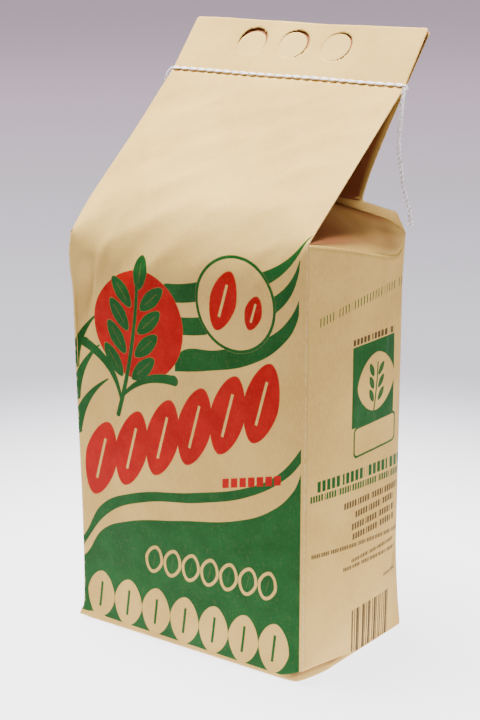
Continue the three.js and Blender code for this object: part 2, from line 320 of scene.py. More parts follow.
def crumple(a, b, size, seed):
    """Soft creasing of stiff paper: sharp-topped waves in eight directions, 20 to 90 mm long, summed."""
    pick = np.random.default_rng(seed)
    total = np.zeros(np.broadcast(a, b).shape)
    for _ in range(8):
        heading, wave, phase = pick.uniform(0, np.pi), pick.uniform(20, 90), pick.uniform(0, 6.28)
        bow = pick.uniform(-0.004, 0.004)
        sideways = a * np.sin(heading) - b * np.cos(heading)
        across = a * np.cos(heading) + b * np.sin(heading) + bow * sideways ** 2
        total = total + (0.5 - np.abs(np.sin(np.pi * across / wave + phase)) ** 0.8) * wave / 60
    return size * total / 2


def dent(a, b, at_a, at_b, wide_a, wide_b, turn=0.0):
    """A smooth bump of height 1 at a place, wide_a by wide_b across, turned by an angle."""
    u, v = a - at_a, b - at_b
    c, s = math.cos(turn), math.sin(turn)
    return np.exp(-(((u * c + v * s) / wide_a) ** 2) - ((v * c - u * s) / wide_b) ** 2)


def sink_left_shoulder(points):
    """The left shoulder has slumped by up to 15 mm, less towards the middle, the fin and the wall below.
    The front's left fold has spread out by up to 6 mm, most just under the shoulder, whose tip is blunt."""
    x, y, z = points[..., 0], points[..., 1], points[..., 2]
    across = np.clip((-30 - x) / 70, 0, 1.1)
    along = np.clip((y + half_depth) / (bend_y + half_depth), 0, 1)
    out = 4.8 * smoothstep(z, 10, 260) * (1 - smoothstep(z, 325, 380))
    out = out + 1.4 * dent(z, 0, 281, 0, 24, 1) - 2.0 * dent(z, 0, 310, 0, 9, 1)
    points = points.copy()
    points[..., 0] = x - out * np.clip((-45 - x) / 55, 0, 1) ** 2 * (1 - along) ** 0.8
    points[..., 2] = z - 15 * across ** 2 * smoothstep(z, 235, 299.4) * (1 - along) ** 1.2
    return points


def hem(x, y):
    """Height of the tube's lower edge above the base: low, but lifted at the tucked front right corner."""
    along_front = np.clip((x - 70) / 30, 0, 1) ** 1.5
    along_side = 1 - np.clip((y + half_depth) / 66, 0, 1) ** 1.6
    return 1.4 + 10.1 * along_front * along_side


def front_and_lean():
    """The front panel from hem to seam: a rounded path in paper length, pushed out by flour and crumpling."""
    run = np.linspace(0, 1, 91)
    run = (run + 0.5 - 0.5 * np.cos(np.pi * run)) / 2
    run = run[None]
    level = np.concatenate([np.linspace(0, 12, 10), np.linspace(15, shoulder + lean_length, 130)])[:, None]
    x0 = -half_width + width * run
    low = hem(x0, -half_depth)
    length = low + level * (shoulder + lean_length - low) / (shoulder + lean_length)
    soft = 2.0 + 92 * swell(run, 4.4) * (0.87 + 0.13 * np.sin(7 * run)) + 0 * length
    corners = [(-half_depth, 0), (-half_depth, shoulder), (bend_y, bend_z)]
    y, z = rounded_path(length, corners, [soft])
    edge = edge_fullness(np.minimum(length, shoulder))
    body = np.where(length < 262, fullness(length), fullness(262.0) * (1 - smoothstep(length, 262, 372)))
    push = 9 * body * swell(run, 2.2)
    left, right = np.clip(x0 + half_width, 0, 99), np.clip(half_width - x0, 0, 99)
    inner = 1 - np.exp(-np.minimum(left, right) / 9)
    wrinkle = crumple(x0, length, 1.05, 3) * (0.35 + 0.65 * smoothstep(length, 180, 300))
    # The hollow under the left shoulder, the ridge beside it, and single creases round the bend.
    wrinkle -= 9.5 * dent(x0, length, -93, 238, 8, 36, -0.20)
    wrinkle += 1.9 * dent(x0, length, -80, 262, 4.0, 34, -0.32)
    wrinkle += 1.3 * dent(x0, length, -62, 292, 3, 20, 0.2)
    wrinkle -= 1.6 * dent(x0, length, -52, 285, 7, 26, 0.3)
    wrinkle -= 1.2 * dent(x0, length, 70, 300, 22, 16, 0.4)
    wrinkle += 0.7 * dent(x0, length, -62, 352, 4, 60, 0.5)
    off = push + wrinkle * inner * (1 - smoothstep(length, 430, shoulder + lean_length))
    turn = smoothstep(length, shoulder - soft / 2, shoulder + soft / 2)
    heading = np.pi / 2 + (lean_angle - np.pi / 2) * turn
    x = -half_width + (width - 1.8 * edge) * run
    x = x - 4 * (1 - run) ** 12 * (1 - smoothstep(length, 1, 12))
    y = y + 2.6 * edge - off * np.sin(heading)
    z = z + off * np.cos(heading)
    place = np.stack([x0 + half_width - 0.734 * off, length - 0.343 * off + 0 * x0], axis=-1)
    return sink_left_shoulder(np.stack([x, y, z], axis=-1)), place


def crease(q):
    """The side shoulder crease from the front corner, q 0, to the rear one, q 1: out by 14 mm x sin, and
    falling, then up at the very end."""
    x = half_width + 14 * np.sin(np.pi * q)
    y = -half_depth + (rear_crease[0] + half_depth) * q
    z = shoulder - 31 * q ** 1.1 + (rear_crease[1] - shoulder + 31) * q ** 10
    return x, y, z


def side_wall():
    """The right gusset below the crease: bellied out, with a faint middle fold, a ridge behind it towards
    the top, and a few dents."""
    q = np.linspace(0, 1, 53)
    q = ((q + 0.5 - 0.5 * np.cos(np.pi * q)) / 2)[None]
    v = np.concatenate([np.linspace(0, 0.04, 8), np.linspace(0.05, 1, 78)])[:, None]
    _, crease_y, crease_z = crease(q)
    low = hem(half_width, crease_y)
    z = low + v * (crease_z - low)
    rear_y = half_depth + (rear_crease[0] - half_depth) * np.minimum(1, z / 60)
    edge = edge_fullness(z)
    y = (-half_depth + 2.6 * edge) * (1 - q) + rear_y * q
    top = smoothstep(v, 0.82, 1.0)
    push = 15 * fullness(z) * swell(q, 2.8) * (1 - top) + 14 * np.sin(np.pi * q) * top
    inner = np.clip(4 * q * (1 - q), 0, 1) ** 0.7 * (1 - v ** 12)
    wrinkle = crumple(y, z, 1.1, 8) * (0.5 + 0.5 * smoothstep(z, 120, 280))
    wall_run = 121
    ridge = np.exp(-((np.abs(q - 0.62) * wall_run / 3.2) ** 1.1))
    middle_fold = np.exp(-((np.abs(q - 0.5) * wall_run / 1.6) ** 1.2))
    wrinkle += 4.0 * ridge * smoothstep(z, 205, 255) * (1 - 0.3 * top)
    wrinkle += 0.5 * middle_fold * smoothstep(z, 20, 90)
    wrinkle -= 2.0 * dent(y, z, 28, 262, 14, 20, 0.3)
    wrinkle -= 1.4 * dent(y, z, -38, 262, 12, 26, -0.3)
    wrinkle -= 6.0 * dent(y, z, 50, 64, 11, 5, 0.5)
    wrinkle += 1.0 * dent(y, z, -24, 200, 3, 60, 0.1)
    off = push + wrinkle * inner
    tuck = 5 * (1 - smoothstep(z, 2, 13)) * np.clip(1 - q * 10, 0, 1) * 0.4
    x = half_width - 1.8 * edge + off - tuck
    place = np.stack([300 + y + half_depth + 1.36 * off, z - 0.468 * off], axis=-1)
    return np.stack([x, y + 0 * x, z + 0 * x], axis=-1), place


def shelf_rim(q):
    """The shelf's upper edge: from the front corner in to the gusset's own crease, out again, then back
    under the rear panel's edge."""
    stops = [0, 0.5, 0.62, 0.80, 0.92, 1]
    corners = [
        [half_width, inner_fold + 3, 90, 95, 98, half_width],
        [-half_depth, -4, 4, 30, 46, rear_crease[0]],
        [shoulder, 331, 321.5, 313.5, 307.0, rear_crease[1]],
    ]
    reach = 0.07 * np.minimum(1, np.minimum(q, 1 - q) / 0.07) * (1 - np.exp(-(((q - 0.5) / 0.04) ** 2)))
    return tuple(sum(np.interp(q + k * reach, stops, c) for k in (-1, -0.5, 0, 0.5, 1)) / 5 for c in corners)


def rear_edge(q):
    """The rear panel's own edge over the same run: out from the gusset's crease, along the shelf, down to
    the shoulder crease."""
    stops = [0, 0.5, 0.62, 0.92, 1]
    x = np.interp(q, stops, [inner_fold + 3, inner_fold + 3, half_width, half_width, half_width])
    y = np.interp(q, stops, [-4, -4, rear_valley[0], shelf_corner[0], rear_crease[0]])
    z = np.interp(q, stops, [331, 331, rear_valley[1], shelf_corner[1], rear_crease[1]])
    return x, y, z


def between(first, second, w):
    """Points from one edge curve to another: w 0 on the first, 1 on the second."""
    return np.stack([a[None] * (1 - w) + b[None] * w for a, b in zip(first, second)], axis=-1)


def gusset_shelf():
    """The gusset over the flour: a crowned surface from the shoulder crease up and in to the shelf's rim. Its
    print place carries painted shade, deepest towards the front and under the lip.
    """
    q = np.linspace(0, 1, 56)
    w = np.linspace(0, 1, 28)[:, None]
    points = between(crease(q), shelf_rim(q), w)
    crown = np.sin(np.pi * w) ** 0.8 * np.sin(np.pi * np.clip(q, 0, 1)) ** 0.7
    fold = crumple(points[..., 1], 90 * w + points[..., 0], 1.2, 21) * crown
    pinch = np.exp(-(w / 0.10) ** 2) * np.sin(np.pi * q) ** 0.5
    off = 5.5 * crown + fold - 1.8 * pinch + 0 * q
    off = off - 2.2 * dent(points[..., 1], w * 60, 20, 36, 14, 10, 0.5)
    points[..., 0] += 0.62 * off
    points[..., 2] += 0.78 * off * (1 - 0.3 * w)
    # Painted shade, carried on the print place past the bare place: most towards the front and under the lip.
    towards_front = 1 - smoothstep(q, 0.12, 0.60)
    under_lip = smoothstep(w, 0.70, 1.0) * (1 - smoothstep(q, 0.75, 1.0))
    towards_rear = smoothstep(q, 0.72, 1.0)
    shaded = smoothstep(w, 0.0, 0.16) * (12.5 + 6 * towards_front - 6 * towards_rear) + 5 * under_lip
    return points, np.stack(np.broadcast_arrays(bare_and_shade_place + shaded, points[..., 2]), axis=-1)


def shelf_lip():
    """The narrow upright strip of the gusset that hangs from the rear panel's edge to the shelf. Its print
    place carries painted shade, deeper towards its front end.
    """
    q = np.linspace(0.5, 1, 40)
    w = np.linspace(0, 1, 6)[:, None]
    points = between(shelf_rim(q), rear_edge(q), w)
    points[..., 0] -= 1.4 * np.sin(np.pi * w) * smoothstep(q, 0.6, 0.66) * (1 - smoothstep(q, 0.9, 1))
    # Painted shade on the print place, deeper towards the strip's front end.
    shaded = 5 + 11 * (1 - smoothstep(q, 0.54, 0.66))
    return points, np.stack(np.broadcast_arrays(bare_and_shade_place + shaded, points[..., 2]), axis=-1)


def fin_point(x, s, t):
    """A place in the fin: x across, s up from the seam, t through it from the front leaf towards the rear."""
    y = bend_y + s * math.cos(fin_angle) + t * math.sin(fin_angle)
    z = bend_z + s * math.sin(fin_angle) - t * math.cos(fin_angle)
    return np.stack(np.broadcast_arrays(x, y, z), axis=-1)


def leaf_depth(x, s, share):
    """How far through the fin a leaf lies. share 0 is the front leaf and 1 the rear one. Above the seam the
    leaves stand off each other, most at the right end of the top edge."""
    up = np.clip(s / fin_length, 0, 1)
    open_right = 1.9 * up ** 1.4 * smoothstep(x, 30, half_width)
    open_left = 0.8 * up ** 1.5 * smoothstep(-x, 50, half_width)
    wave = 0.45 * up * np.sin(x / 23 + 1) + 0.25 * up * np.sin(x / 9.5)
    squeeze = 1 - 0.35 * np.exp(-(s / 5) ** 2)
    return fin_gap * (0.5 + (share - 0.5) * squeeze) + (share - 0.45) * (open_right + open_left) + wave


def rear_bow(t):
    """How far the rear panel bows towards the front between its valley, t 0, and the seam, t 1."""
    t = np.clip(t, 0, 1)
    return 3.2 * np.sin(np.pi * t ** 0.58)


def folded_gusset(side):
    """A gusset above the flour, folded inwards, as the right one: from the front panel's edge in to the
    gusset's crease and out to the rear panel's edge, then up between the leaves of the fin. Where side is
    -1 it will be mirrored, so it follows the left end of the fin. Painted shade darkens it towards the
    crease and all through the fin."""
    w = np.linspace(0, 1, 41)
    front = w < 0.5
    share = np.where(front, 2 * w, 2 * w - 1)[None]
    rise = np.linspace(0, 1, 32)[:, None]
    low_front = np.array([half_width, -half_depth, shoulder])
    low_inner = np.array([inner_fold + 3, -4, 331.0])
    low_rear = np.array([half_width, *rear_valley])
    high_front = np.array([half_width, bend_y + 0.3, bend_z - 0.2])
    high_inner = np.array([40.0, bend_y + 0.8, bend_z - 0.8])
    high_rear = np.array([half_width, bend_y + 1.3, bend_z - 1.2])

    def side_of(low_a, low_b, high_a, high_b):
        """A flat leaf between two edges, each given by its foot and its top."""
        low = low_a + (low_b - low_a) * share[..., None]
        high = high_a + (high_b - high_a) * share[..., None]
        return low + (high - low) * rise[..., None]

    ahead = side_of(low_front, low_inner, high_front, high_inner)
    behind = side_of(low_inner, low_rear, high_inner, high_rear)
    points = np.where(front[None, :, None], ahead, behind)
    sag = np.sin(np.pi * rise) * np.sin(np.pi * share)
    shift = np.where(front[None], 1.0, -1.0) * 4.5 * sag + crumple(share * 60, rise * 110, 0.6, 31) * sag
    bow = rear_bow(rise) * np.where(front, 0, share)
    points[..., 1] += shift * 0.6 - 0.80 * bow
    points[..., 2] += 0.60 * bow - shift * 0.7
    s = np.linspace(1, fin_length - 0.6, 16)[:, None]
    x = half_width - 1.0 - 44 * (1 - np.abs(2 * w - 1))[None] + 0 * s
    t = leaf_depth(side * x, s, np.where(front, 0.28, 0.72)[None])
    in_fin = np.concatenate([0 * rise, 1 + 0 * s])
    points = np.concatenate([points, fin_point(x, s, t)])
    # Painted shade on the print place, deepest at the gusset's crease and all through the fin.
    painted_shade_depth = np.maximum(1 - np.abs(2 * w - 1)[None], in_fin)
    return points, np.stack(np.broadcast_arrays(bare_and_shade_place + 190 * painted_shade_depth, points[..., 2]), axis=-1)


def rear_sheet():
    """The rear panel: hem, rear wall, over the flour, up behind the fold to the seam. Its glued overlap is a
    strip that stands one paper's thickness proud."""
    run = np.linspace(0, 1, 71)
    run = ((run + 0.5 - 0.5 * np.cos(np.pi * run)) / 2)[None]
    corners = [(half_depth, 0), (rear_crease[0], 60), rear_crease, shelf_corner, rear_valley]
    corners.append((bend_y + fin_gap * math.sin(fin_angle), bend_z - fin_gap * math.cos(fin_angle)))
    total = np.linalg.norm(np.diff(np.array(corners), axis=0), axis=1).sum()
    level = np.linspace(0, total, 96)[:, None]
    length = 1.4 + level * (total - 1.4) / total
    one = np.ones_like(run)
    soft = [30 * one, 2 + 16 * swell(run, 2), 2 + 14 * swell(run, 2), 1.5 + 3 * swell(run, 2)]
    y, z = rounded_path(length, corners, soft)
    wall = 1 - smoothstep(length, rear_crease[1] - 30, rear_crease[1])
    shelf = smoothstep(length, 300, 322) * (1 - smoothstep(length, 345, 364))
    off = 4.5 * fullness(length) * swell(run, 2.2) * wall
    x0 = half_width - width * run
    inner = 1 - np.exp(-np.minimum(x0 + half_width, half_width - x0) / 8)
    fade = 1 - smoothstep(length, total - 30, total)
    off = off + crumple(x0, length, 0.8, 17) * inner * fade
    overlap = smoothstep(x0, 18, 20) * (1 - smoothstep(x0, 46, 48)) * (1 - smoothstep(length, 330, 360))
    off = off + 0.45 * overlap + 2.0 * shelf * swell(run, 2)
    y = y + off * np.where(length > 318, 0.35, 1.0)
    z = z + off * np.where(length > 318, 0.9, 0.0) * (1 - smoothstep(length, 350, 366))
    bow = rear_bow((length - total + 86.8) / 86.8)
    y, z = y - 0.80 * bow, z + 0.60 * bow
    edge = edge_fullness(length)
    x = np.where(x0 > 0, x0 * (1 - 0.018 * edge), x0)
    place = np.stack([half_width - x0 + 0 * length, length + 0 * x0], axis=-1)
    return sink_left_shoulder(np.stack([x + 0 * y, y, z], axis=-1)), place


def fin_leaf(share, cut):
    """One outer leaf of the fin as a fine grid. Its top corners are rounded, and cut gives finger holes as
    (x, s, radius): cells inside one are left out, and the grid points next to its edge are moved onto it."""
    x = np.linspace(-half_width, half_width, 161)[None]
    if share > 0.5:
        x = x[:, ::-1]
    s = np.linspace(0, 1, 40)[:, None]
    corner = 1.8
    past = np.clip(np.abs(x) - (half_width - corner), 0, corner)
    s = s * (fin_length - corner + np.sqrt(corner ** 2 - past ** 2))
    x = x + 0 * s
    kept = np.ones((s.shape[0] - 1, x.shape[1] - 1), bool)
    for at_x, at_s, radius in cut:
        away = np.hypot(x - at_x, s - at_s)
        near = np.abs(away - radius) < 0.80
        x = np.where(near, at_x + (x - at_x) * radius / away, x)
        s = np.where(near, at_s + (s - at_s) * radius / away, s)
        mid_x = (x[:-1, :-1] + x[1:, 1:]) / 2
        mid_s = (s[:-1, :-1] + s[1:, 1:]) / 2
        kept &= np.hypot(mid_x - at_x, mid_s - at_s) > radius
    return fin_point(x, s, leaf_depth(x, s, share)), None, kept


def mirrored(patch):
    """The same patch on the left side: x changes sign, and the columns run the other way, so it faces out."""
    points = patch[:, ::-1].copy()
    points[..., 0] *= -1
    return sink_left_shoulder(points)


hole_radius = 12.2
finger_holes = [(x, 29.0, hole_radius) for x in (-40.5, -4.0, 32.5)]
front_points, front_place = front_and_lean()
side_points, side_place = side_wall()
rear_points, rear_place = rear_sheet()
panels = [
    (front_points, front_place, None),
    (side_points, side_place, None),
    (mirrored(side_points), side_place, None),
    (rear_points, rear_place, None),
]
right_fold, fold_place = folded_gusset(1)
left_fold, fold_place = folded_gusset(-1)
panels.append((right_fold, fold_place, None))
panels.append((mirrored(left_fold), fold_place[:, ::-1], None))
shelf_points, shelf_place = gusset_shelf()
panels.append((shelf_points, shelf_place, None))
panels.append((mirrored(shelf_points), shelf_place[:, ::-1], None))
lip_points, lip_place = shelf_lip()
panels.append((lip_points, lip_place, None))
panels.append((mirrored(lip_points), lip_place[:, ::-1], None))
panels.append(fin_leaf(0.0, finger_holes))
panels.append(fin_leaf(1.0, finger_holes))

bag = grid_piece("paper_bag", panels, weld=0.04)
wall = bag.modifiers.new("two plies", "SOLIDIFY")
wall.thickness = paper / 1000
wall.offset = -1
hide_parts("bag")


def kraft_group():
    """Unprinted kraft paper, for every piece cut from it. Wear lightens it. Fibres are stretched noise, the
    cloudy tone is broad noise, and dark specks are the high end of a fine one."""
    group = bpy.data.node_groups.new("Kraft paper", "ShaderNodeTree")
    group.interface.new_socket("Place", in_out="INPUT", socket_type="NodeSocketVector")
    group.interface.new_socket("Wear", in_out="INPUT", socket_type="NodeSocketFloat")
    group.interface.new_socket("Color", in_out="OUTPUT", socket_type="NodeSocketColor")
    group.interface.new_socket("Height", in_out="OUTPUT", socket_type="NodeSocketFloat")
    group.interface.new_socket("Rough", in_out="OUTPUT", socket_type="NodeSocketFloat")
    enter = group.nodes.new("NodeGroupInput")
    leave = group.nodes.new("NodeGroupOutput")
    place = enter.outputs["Place"]
    cloud = noise(group, place, 14.0, 3.0)
    fibre = noise(group, stretched(group, place, (1.0, 1.0, 0.16)), 1500.0, 3.0)
    short = noise(group, stretched(group, place, (0.3, 0.3, 1.0)), 900.0, 2.0)
    speck = noise(group, place, 1300.0, 1.0)
    colour = blend(group, ramp(group, cloud, 0.3, 0.7), (0.50, 0.315, 0.078, 1), (0.60, 0.395, 0.108, 1))
    colour = blend(group, calc(group, "MULTIPLY", ramp(group, fibre, 0.35, 0.75), 0.30), colour,
                   (0.72, 0.51, 0.18, 1))
    colour = blend(group, calc(group, "MULTIPLY", ramp(group, short, 0.5, 0.8), 0.22), colour,
                   (0.40, 0.24, 0.055, 1))
    colour = blend(group, calc(group, "MULTIPLY", ramp(group, speck, 0.70, 0.78), 0.35), colour,
                   (0.26, 0.15, 0.04, 1))
    colour = blend(group, calc(group, "MULTIPLY", enter.outputs["Wear"], 0.5), colour, (0.76, 0.58, 0.28, 1))
    group.links.new(colour, leave.inputs["Color"])
    height = calc(group, "ADD", calc(group, "MULTIPLY", fibre, 0.6), calc(group, "MULTIPLY", short, 0.4))
    group.links.new(height, leave.inputs["Height"])
    rough = calc(group, "ADD", 0.62, calc(group, "MULTIPLY", fibre, 0.2))
    group.links.new(rough, leave.inputs["Rough"])
    return group


def print_group(name, numbers, shape):
    """A node group for one printed form. Its inputs are U and V, the place on the panel, and the named
    numbers. Its output is the form's mask, which goes from 0 outside to 1 inside over 0.3 mm. shape makes
    the depth inside the form, in millimetres, from a dict of the inputs."""
    group = bpy.data.node_groups.new(name, "ShaderNodeTree")
    for label in ["U", "V", *numbers]:
        group.interface.new_socket(label, in_out="INPUT", socket_type="NodeSocketFloat")
    group.interface.new_socket("Mask", in_out="OUTPUT", socket_type="NodeSocketFloat")
    enter = group.nodes.new("NodeGroupInput")
    leave = group.nodes.new("NodeGroupOutput")
    inside = shape(group, {socket.name: socket for socket in enter.outputs if socket.name})
    group.links.new(ramp(group, inside, -0.15, 0.15), leave.inputs["Mask"])
    return group


def grain_shape(group, value):
    """A grain: an ellipse turned by Lean, with a slit of Slit half width down its middle."""
    du = calc(group, "SUBTRACT", value["U"], value["At U"])
    dv = calc(group, "SUBTRACT", value["V"], value["At V"])
    cosine, sine = calc(group, "COSINE", value["Lean"]), calc(group, "SINE", value["Lean"])
    along = calc(group, "ADD", calc(group, "MULTIPLY", du, sine), calc(group, "MULTIPLY", dv, cosine))
    across = calc(group, "SUBTRACT", calc(group, "MULTIPLY", du, cosine), calc(group, "MULTIPLY", dv, sine))
    a = calc(group, "POWER", calc(group, "ABSOLUTE", calc(group, "DIVIDE", along, value["Half length"])), 1.6)
    b = calc(group, "POWER", calc(group, "ABSOLUTE", calc(group, "DIVIDE", across, value["Half width"])), 1.8)
    body = calc(group, "SUBTRACT", 1.0, calc(group, "ADD", a, b))
    body = calc(group, "MULTIPLY", calc(group, "MULTIPLY", body, value["Half width"]), 0.5)
    slit = calc(group, "SUBTRACT", calc(group, "ABSOLUTE", across), value["Slit"])
    open_end = calc(group, "SUBTRACT", calc(group, "ABSOLUTE", along),
                    calc(group, "MULTIPLY", value["Half length"], 0.55))
    return calc(group, "MINIMUM", body, calc(group, "MAXIMUM", slit, open_end))


def stroke_shape(group, value):
    """A stroke from one end to the other, bowed to its side by Bow. Its half width goes from Start to End."""
    du = calc(group, "SUBTRACT", value["U"], value["From U"])
    dv = calc(group, "SUBTRACT", value["V"], value["From V"])
    wu = calc(group, "SUBTRACT", value["To U"], value["From U"])
    wv = calc(group, "SUBTRACT", value["To V"], value["From V"])
    squares = calc(group, "ADD", calc(group, "MULTIPLY", wu, wu), calc(group, "MULTIPLY", wv, wv))
    reach = calc(group, "SQRT", squares)
    wu, wv = calc(group, "DIVIDE", wu, reach), calc(group, "DIVIDE", wv, reach)
    along = calc(group, "ADD", calc(group, "MULTIPLY", du, wu), calc(group, "MULTIPLY", dv, wv))
    across = calc(group, "SUBTRACT", calc(group, "MULTIPLY", du, wv), calc(group, "MULTIPLY", dv, wu))
    held = calc(group, "MINIMUM", calc(group, "MAXIMUM", along, 0.0), reach)
    t = calc(group, "DIVIDE", held, reach)
    arch = calc(group, "MULTIPLY", calc(group, "MULTIPLY", t, calc(group, "SUBTRACT", 1.0, t)), 4.0)
    across = calc(group, "SUBTRACT", across, calc(group, "MULTIPLY", arch, value["Bow"]))
    past = calc(group, "SUBTRACT", along, held)
    away = calc(group, "SQRT", calc(group, "ADD", calc(group, "MULTIPLY", across, across),
                                    calc(group, "MULTIPLY", past, past)))
    thick = calc(group, "ADD", calc(group, "MULTIPLY", value["End"], t),
                 calc(group, "MULTIPLY", value["Start"], calc(group, "SUBTRACT", 1.0, t)))
    return calc(group, "SUBTRACT", thick, away)


def block_shape(group, value):
    """A block with rounded corners."""
    du = calc(group, "ABSOLUTE", calc(group, "SUBTRACT", value["U"], value["At U"]))
    dv = calc(group, "ABSOLUTE", calc(group, "SUBTRACT", value["V"], value["At V"]))
    over_u = calc(group, "SUBTRACT", du, calc(group, "SUBTRACT", value["Half U"], value["Round"]))
    over_v = calc(group, "SUBTRACT", dv, calc(group, "SUBTRACT", value["Half V"], value["Round"]))
    out_u, out_v = calc(group, "MAXIMUM", over_u, 0.0), calc(group, "MAXIMUM", over_v, 0.0)
    away = calc(group, "SQRT", calc(group, "ADD", calc(group, "MULTIPLY", out_u, out_u),
                                    calc(group, "MULTIPLY", out_v, out_v)))
    inner = calc(group, "MINIMUM", calc(group, "MAXIMUM", over_u, over_v), 0.0)
    return calc(group, "SUBTRACT", value["Round"], calc(group, "ADD", away, inner))


grain_numbers = ["At U", "At V", "Half length", "Half width", "Lean", "Slit"]
stroke_numbers = ["From U", "From V", "To U", "To V", "Start", "End", "Bow"]
block_numbers = ["At U", "At V", "Half U", "Half V", "Round"]
grain_print = print_group("Printed grain", grain_numbers, grain_shape)
stroke_print = print_group("Printed stroke", stroke_numbers, stroke_shape)
block_print = print_group("Printed block", block_numbers, block_shape)
kraft = kraft_group()


def printed_paper():
    """Kraft paper with the bag's green, red and brown inks. Each form is a mask on the print place, in
    millimetres: 0 to 200 across the front and rear panels, 300 and more across the gussets. From the bare
    place on there is no print, and the further it goes on, the more painted shade turns the paper a dark
    red brown, as shade deep in a fold."""
    material, tree, shader, bump = new_material("printed kraft paper", 0.7)
    map_node = tree.nodes.new("ShaderNodeUVMap")
    map_node.uv_map = "print"
    split = tree.nodes.new("ShaderNodeSeparateXYZ")
    tree.links.new(map_node.outputs["UV"], split.inputs[0])
    u, v = split.outputs["X"], split.outputs["Y"]
    object_place = tree.nodes.new("ShaderNodeTexCoord").outputs["Object"]
    wobble = calc(tree, "MULTIPLY", calc(tree, "SUBTRACT", noise(tree, object_place, 900.0, 2.0), 0.5), 0.5)
    u, v = calc(tree, "ADD", u, wobble), calc(tree, "ADD", v, wobble)

    def form(group, *values, at=None):
        """The mask of one printed form, from its numbers, at the print place or at another one."""
        node = tree.nodes.new("ShaderNodeGroup")
        node.node_tree = group
        where = (u, v) if at is None else at
        for socket, value in zip(node.inputs, [*where, *values]):
            if isinstance(value, (int, float)):
                socket.default_value = value
            else:
                tree.links.new(value, socket)
        return node.outputs["Mask"]

    def curve(points):
        """A height over the panel's width: a smooth curve through (u, v) points, both out of 330."""
        node = tree.nodes.new("ShaderNodeFloatCurve")
        line = node.mapping.curves[0]
        line.points[0].location = (points[0][0] / 330, points[0][1] / 330)
        line.points[1].location = (points[-1][0] / 330, points[-1][1] / 330)
        for at_u, at_v in points[1:-1]:
            line.points.new(at_u / 330, at_v / 330)
        node.mapping.update()
        tree.links.new(calc(tree, "DIVIDE", u, 330.0), node.inputs["Value"])
        return calc(tree, "MULTIPLY", node.outputs[0], 330.0)

    def over(low, high):
        """1 where the second value is over the first."""
        return ramp(tree, calc(tree, "SUBTRACT", high, low), -0.15, 0.15)

    def union(*masks):
        """1 where any of the masks is."""
        total = masks[0]
        for mask in masks[1:]:
            total = calc(tree, "MAXIMUM", total, mask)
        return total

    def both(first, second):
        """1 where both masks are."""
        return calc(tree, "MULTIPLY", first, second)

    def without(first, second):
        """The first mask, less the second."""
        return calc(tree, "MULTIPLY", first, calc(tree, "SUBTRACT", 1.0, second))

    # The front and rear panels: the field, the bands and the sweeps in green.
    on_front = both(ramp(tree, u, -6.2, -6.0), over(u, 196.0))
    field_top = curve(
        [(0, 49), (2.6, 51), (19.5, 74), (43.5, 86), (90, 97), (141, 108), (169, 120), (189, 138), (195, 150)]
    )
    foot_v = calc(tree, "ADD", v, calc(tree, "MULTIPLY", u, 0.012))
    field = both(over(v, field_top), both(ramp(tree, foot_v, 5.6, 5.9), on_front))
    band_top = curve([(0, 64), (3, 68), (20, 94), (47, 108), (105, 121), (148, 133), (175, 147), (195, 169)])
    band_low = curve([(0, 56), (3, 61), (28, 90), (59, 104), (112, 115), (155, 129), (185, 148), (195, 159)])
    band = both(both(over(v, band_top), over(band_low, v)), on_front)
    sweep_top = curve([(88, 206), (92, 219), (126, 227), (150, 234), (170, 243.5), (185, 257), (194, 274)])
    sweep_low = curve([(88, 206), (117, 211), (155, 222), (181, 240), (192, 257), (194, 273)])
    on_sweep = both(ramp(tree, u, 89, 89.3), over(u, 194.0))
    sweep = both(both(over(v, sweep_top), over(sweep_low, v)), on_sweep)
    to_ring = union(
        form(stroke_print, 84, 261, 112, 266, 6.6, 6.6, 1.0),
        form(stroke_print, 92, 239, 114, 242, 6.2, 6.2, 0.5),
    )
    from_ring = union(
        form(stroke_print, 162, 281, 199, 317, 5.2, 0.4, 5.0),
        form(stroke_print, 171, 264, 193.5, 298, 5.6, 0.4, 4.5),
    )
    at_left = union(
        form(stroke_print, 19, 236, -1, 198, 0.6, 4.6, 4.0),
        form(stroke_print, 21, 214, -1, 174, 0.6, 4.6, 4.0),
        form(stroke_print, 28, 190, -1, 149, 0.6, 5.0, 5.0),
    )
    ring_at = (141.0, 261.0)
    disc_at = (57.0, 234.0)

    def disc(at, radius):
        """The mask of a full disc."""
        du = calc(tree, "SUBTRACT", u, at[0])
        dv = calc(tree, "SUBTRACT", v, at[1])
        squares = calc(tree, "ADD", calc(tree, "MULTIPLY", du, du), calc(tree, "MULTIPLY", dv, dv))
        return over(calc(tree, "SQRT", squares), radius)

    ring_outer, ring_inner = disc(ring_at, 33.5), disc(ring_at, 31.2)
    ring = without(ring_outer, ring_inner)
    sun = disc(disc_at, 39.5)
    ear = form(stroke_print, 37, 166, 56, 262, 1.9, 1.4, 3.0)
    ear = union(ear, form(grain_print, 59.0, 272, 13.0, 6.2, 0.15, 0.0))
    for at_u, at_v in ((54.0, 255.0), (51.5, 238.0), (49.0, 221.0), (46.0, 204.0)):
        ear = union(
            ear,
            form(grain_print, at_u - 12.0, at_v + 2.0, 13.5, 5.8, -0.60, 0.0),
            form(grain_print, at_u + 14.5, at_v - 1.0, 13.5, 5.8, 0.85, 0.0),
        )
    leaf = union(
        form(stroke_print, 41, 180, 88, 199, 1.2, 4.0, -6.0),
        form(stroke_print, 40, 176, 9, 214, 1.2, 4.2, 7.0),
    )
    green = union(field, band, sweep, to_ring, from_ring, at_left)
    green = union(without(green, ring_outer), ring)
    green = union(without(green, sun), ear, leaf)

